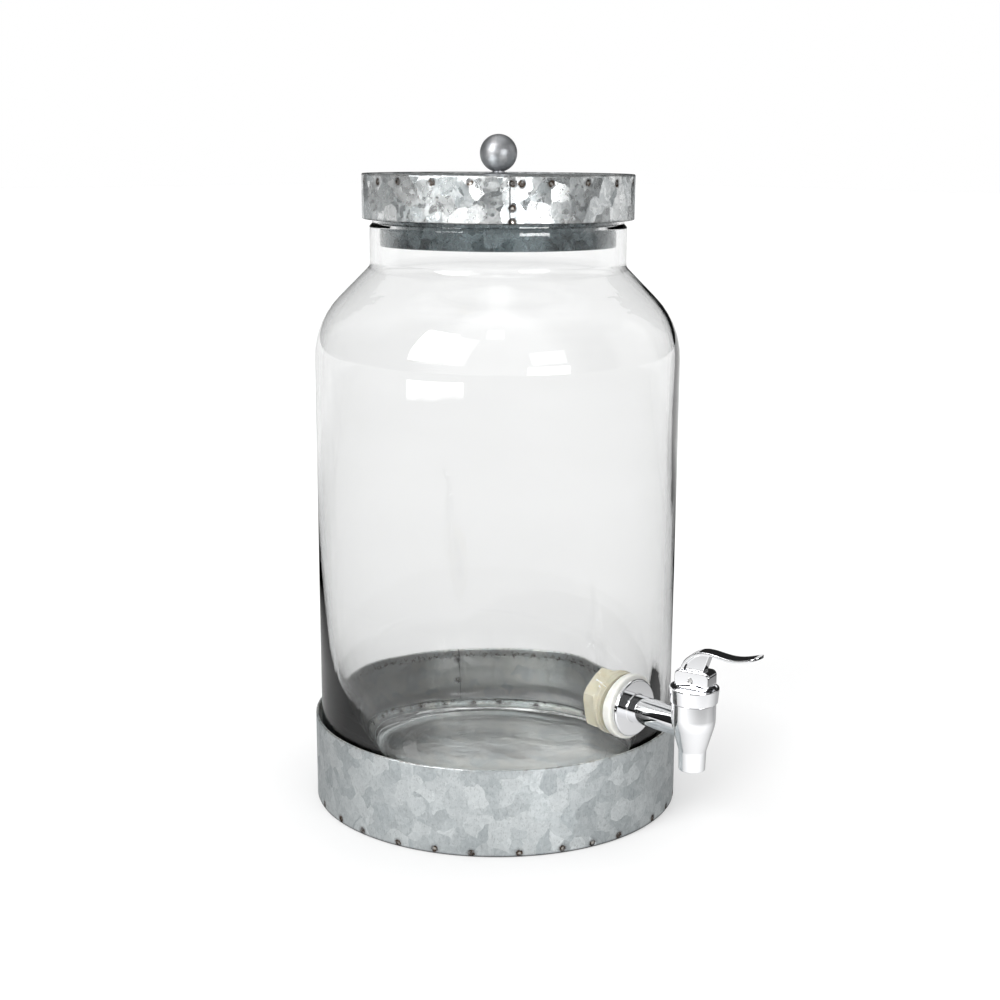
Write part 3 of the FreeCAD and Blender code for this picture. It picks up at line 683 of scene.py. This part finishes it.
def drill(piece, radius, middle, length):
    """Cuts a round hole along Y through a piece."""
    bpy.ops.mesh.primitive_cylinder_add(
        vertices=96, radius=radius, depth=length, location=middle
    )
    cutter = bpy.context.object
    cutter.rotation_euler.x = math.pi / 2
    cut = piece.modifiers.new("hole", "BOOLEAN")
    cut.operation, cut.object, cut.solver = "DIFFERENCE", cutter, "EXACT"
    apply_modifiers(piece)
    bpy.data.objects.remove(cutter)


def apply_modifiers(piece):
    """Makes what a piece's modifiers give its own mesh."""
    bpy.context.view_layer.update()
    evaluated = piece.evaluated_get(bpy.context.evaluated_depsgraph_get())
    mesh = bpy.data.meshes.new_from_object(evaluated)
    piece.modifiers.clear()
    piece.data = mesh


def softened(node, name, voxel, rounds, body, slot, material):
    """A CAD node's own shape with its corners rounded, as a casting or a moulding has them."""
    piece = add_object(name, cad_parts[node].data.copy())
    remesh = piece.modifiers.new("even", "REMESH")
    remesh.mode, remesh.voxel_size = "VOXEL", voxel
    relax = piece.modifiers.new("relax", "SMOOTH")
    relax.factor, relax.iterations = 0.5, rounds
    apply_modifiers(piece)
    finish_piece(piece, body, slot, material, node, sharp=math.pi)


def valve_spring(material):
    """The valve's spring: the CAD node's own shape, carried with the spring seat."""
    piece = add_object("valve_spring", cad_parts["stem_spring"].data.copy())
    finish_piece(piece, "spring_seat", "plain_steel", material, "stem_spring")
    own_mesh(piece)


# ---------------------------------------------------------------- stage


def floor_material():
    """White, and never quite dark; its glow is lower close to the tray, a painted contact shadow.
    In gloss the floor is lit near the jar and far behind it, and carries the foot of the key box;
    everywhere else gloss finds it dark."""
    s = Shader("white_floor")
    path = s.tree.nodes.new("ShaderNodeLightPath").outputs
    seen_through = path["Is Transmission Ray"]
    mirrored = s.times(path["Is Glossy Ray"], s.minus(1.0, seen_through))
    distance = s.node("VectorMath", out="Value", inputs={0: s.place}, operation="LENGTH")
    ahead = {0: s.place, 1: (-math.sin(CAMERA_TURN), -math.cos(CAMERA_TURN), 0)}
    forward = s.node("VectorMath", out="Value", inputs=ahead, operation="DOT_PRODUCT")
    near = s.span(forward, 0.0, 0.18, 0.4, 1.0)
    lit = s.times(near, s.span(distance, TABLE_R + 0.2, TABLE_R))
    lit = s.larger(lit, s.span(forward, -0.5, -1.0, 0, 0.75))
    table = s.node("Mix", inputs={0: mirrored, 2: 1.0, 3: lit})
    behind = s.span(distance, 0.3, 4.5, 0.86, 1.08)
    table = s.times(table, s.node("Mix", inputs={0: seen_through, 2: 1.0, 3: behind}))
    sides = s.between(s.bearing(s.place), *KEY_BOX, 1.0)
    box = s.times(sides, s.between(distance, 1.68, 2.25, 0.08))
    # Painted shadow: the glow is lower close to the tray, a painted contact shadow round its foot.
    glow_and_painted_shadow = s.times(table, s.span(distance, 0.1, 0.22, 0.40, 0.55))
    glow_and_painted_shadow = s.plus(glow_and_painted_shadow, s.times(s.times(mirrored, box), KEY_LEVEL))
    shade = s.times(table, s.span(s.noise(0.3, 2), 0.3, 0.7, 0.37, 0.39))
    s.set(Base_Color=s.mix(shade, (0, 0, 0), (1, 1, 1)), Roughness=0.9, Specular_IOR_Level=0.0)
    s.set(Emission_Color=(1, 1, 1, 1), Emission_Strength=glow_and_painted_shadow)
    return s.material


def floor_and_lights():
    """Plain white floor and three large soft lights."""
    mesh = bpy.data.meshes.new("floor")
    signs = ((-1, -1), (1, -1), (1, 1), (-1, 1))
    mesh.from_pydata([(x * FLOOR_REACH, y * FLOOR_REACH, 0) for x, y in signs], [], [(0, 1, 2, 3)])
    floor = add_object("floor", mesh)
    floor.location.z = -FLOOR_DROP
    mesh.materials.append(floor_material())
    soft_light("key", -37, 28, 1.7, 0.95, 1.1, 9)
    soft_light("fill", 33, 20, 1.8, 0.75, 0.5, 4)
    soft_light("top", 160, 70, 1.8, 1.2, 0.9, 8)


def soft_light(name, turn, rise, distance, width, height, power):
    """Area light that looks at the jar from a bearing and a rise in degrees, unseen in gloss."""
    data = bpy.data.lights.new(name, "AREA")
    data.shape, data.size, data.size_y, data.energy = "RECTANGLE", width, height, power
    light = add_object(name, data)
    a, e = camera_side(turn), math.radians(rise)
    away = Vector((math.sin(a) * math.cos(e), -math.cos(a) * math.cos(e), math.sin(e)))
    light.location = LIT_MIDDLE + away * distance
    light.rotation_mode = "QUATERNION"
    light.rotation_quaternion = away.to_track_quat("Z", "Y")
    light.visible_glossy = False


class WorldShader(Shader):
    """The world's node tree, with the bearing (turn) and the rise of a direction in degrees."""

    def __init__(self, world):
        world.use_nodes = True
        self.tree = world.node_tree
        direction = self.node("TexCoord", out="Generated")
        self.turn = self.bearing(direction)
        self.rise = self.times(self.math("ARCSINE", self.part(direction, 2)), 180 / math.pi)

    def window(self, turn, rise, soft):
        """1 inside a rectangle of directions, falling to 0 over soft degrees outside it."""
        across = self.between(self.turn, *turn, soft)
        return self.times(across, self.between(self.rise, *rise, soft))


def studio_world():
    """White studio. Mirrored rays find a dim room with four bright windows; refracted rays find the
    room paler, and the camera and diffuse rays see plain white."""
    world = bpy.data.worlds.new("studio")
    bpy.context.scene.world = world
    s = WorldShader(world)
    aside = s.math("ABSOLUTE", s.turn)
    light = s.larger(s.span(aside, 55, 75, 0.09, 0.02), s.span(s.rise, 50, 68, 0, 0.95))
    windows = (  # bearings of the sides, rises of the foot and top, softness, radiance
        ((84, 112), (-4, 30), 8, 0.8),
        ((-58, -32), (13, 48), 1.0, 1.5 * KEY_LEVEL),
        ((19, 45), (-1, 8), 1.0, 15.0),
        ((-8, 4), (46, 56), 2.0, 3.0),
    )
    for turn, rise, soft, level in windows:
        light = s.node("Mix", inputs={0: s.window(turn, rise, soft), 2: light, 3: level})
    path = s.tree.nodes.new("ShaderNodeLightPath").outputs
    room = s.larger(s.span(aside, 35, 60, 2.3, 0.15), s.span(aside, 80, 135, 0.15, 1.0))
    boxes = s.times(s.math("MINIMUM", light, 3.0), s.span(aside, 65, 60))
    through = s.larger(boxes, room)
    light = s.node("Mix", inputs={0: path["Is Transmission Ray"], 2: light, 3: through})
    light = s.node("Mix", inputs={0: path["Is Diffuse Ray"], 2: light, 3: 0.95})
    light = s.node("Mix", inputs={0: path["Is Camera Ray"], 2: light, 3: 1.0})
    s.tree.links.new(light, s.tree.nodes["Background"].inputs["Strength"])
    s.tree.nodes["Background"].inputs["Color"].default_value = (1, 1, 1, 1)


def camera():
    """Stands where the photographer stood, with the same pitch, roll and lens."""
    data = bpy.data.cameras.new("camera")
    data.lens, data.sensor_width = LENS, SENSOR
    view = add_object("camera", data)
    ahead = Vector((math.sin(CAMERA_YAW), math.cos(CAMERA_YAW), 0))
    right = Vector((math.cos(CAMERA_YAW), -math.sin(CAMERA_YAW), 0))
    up = Vector((0, 0, 1))
    forward = ahead * math.cos(CAMERA_PITCH) - up * math.sin(CAMERA_PITCH)
    above = ahead * math.sin(CAMERA_PITCH) + up * math.cos(CAMERA_PITCH)
    across = right * math.cos(CAMERA_ROLL) + above * math.sin(CAMERA_ROLL)
    above = above * math.cos(CAMERA_ROLL) - right * math.sin(CAMERA_ROLL)
    turn = Matrix.Rotation(-CAMERA_TURN, 3, "Z")
    axes = Matrix((turn @ across, turn @ above, turn @ -forward)).transposed()
    place = turn @ Vector((0, -CAMERA_REACH, CAMERA_HEIGHT))
    view.matrix_world = Matrix.Translation(place) @ axes.to_4x4()
    bpy.context.scene.camera = view


# ---------------------------------------------------------------- the dispenser

camera()
floor_and_lights()
studio_world()
bpy.context.scene.view_settings.view_transform = "Standard"

tray_zinc = galvanised(
    "tray_zinc", 9 * MM, (0.36, 0.39, 0.40), (0.57, 0.60, 0.605), tilt=0.13, rough=0.42, seed=0.0
)
lid_zinc = galvanised(
    "lid_zinc", 10 * MM, (0.36, 0.39, 0.40), (0.95, 0.97, 0.97), tilt=0.34, rough=0.30, seed=0.8
)
# The plug ring, seen through the neck, has its zinc painted far darker than the tray's: painted
# shade for the shadow under the lid
painted_shade_collar_zinc = galvanised(
    "painted_shade_collar_zinc", 9 * MM, (0.03, 0.045, 0.05), (0.13, 0.16, 0.17), tilt=0.15, rough=0.22, seed=0.3
)
glass = clear_glass()
plate = chrome()
steel = bright_steel()
knob_metal = satin_zinc()
ivory = moulded("ivory_nylon", (1.0, 0.94, 0.73), (0.98, 0.89, 0.65), 0.32, 0.15)
white = moulded("white_silicone", (0.56, 0.56, 0.53), (0.49, 0.49, 0.46), 0.28, 0.2)
milky = moulded("milky_silicone", (0.74, 0.75, 0.74), (0.66, 0.67, 0.66), 0.35, 0.4)
black = moulded("black_nitrile", (0.02, 0.02, 0.02), (0.035, 0.035, 0.035), 0.45, 0.0)

tray_band(tray_zinc)
tray_floor(tray_zinc)
lid_band(lid_zinc)
lid_top(lid_zinc)
jar(glass)
softened("tap_nut", "flanged_nut", 0.22 * MM, 6, "jar", "cream_nylon", ivory)
softened("tap_outer_washer", "flange_washer", 0.22 * MM, 4, "jar", "white_silicone", white)
softened("lever", "push_lever", 0.16 * MM, 8, "lever", "tap_chrome", plate)
valve_spring(steel)

LOOKS = {  # CAD nodes that are shown as they are
    "lid_collar": painted_shade_collar_zinc,
    "lid_gasket": milky,
    "knob": knob_metal,
    "knob_washer": knob_metal,
    "knob_lock_washer": steel,
    "knob_screw": steel,
    "tap_body": plate,
    "tap_inner_washer": ivory,
    "bonnet": plate,
    "stem_guide": ivory,
    "stem_o_ring": black,
    "spring_washer": steel,
    "stem": steel,
    "seat_cup": milky,
    "lever_pin": steel,
}
for node, material in LOOKS.items():
    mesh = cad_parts[node].data
    mesh.materials.clear()
    mesh.materials.append(material)
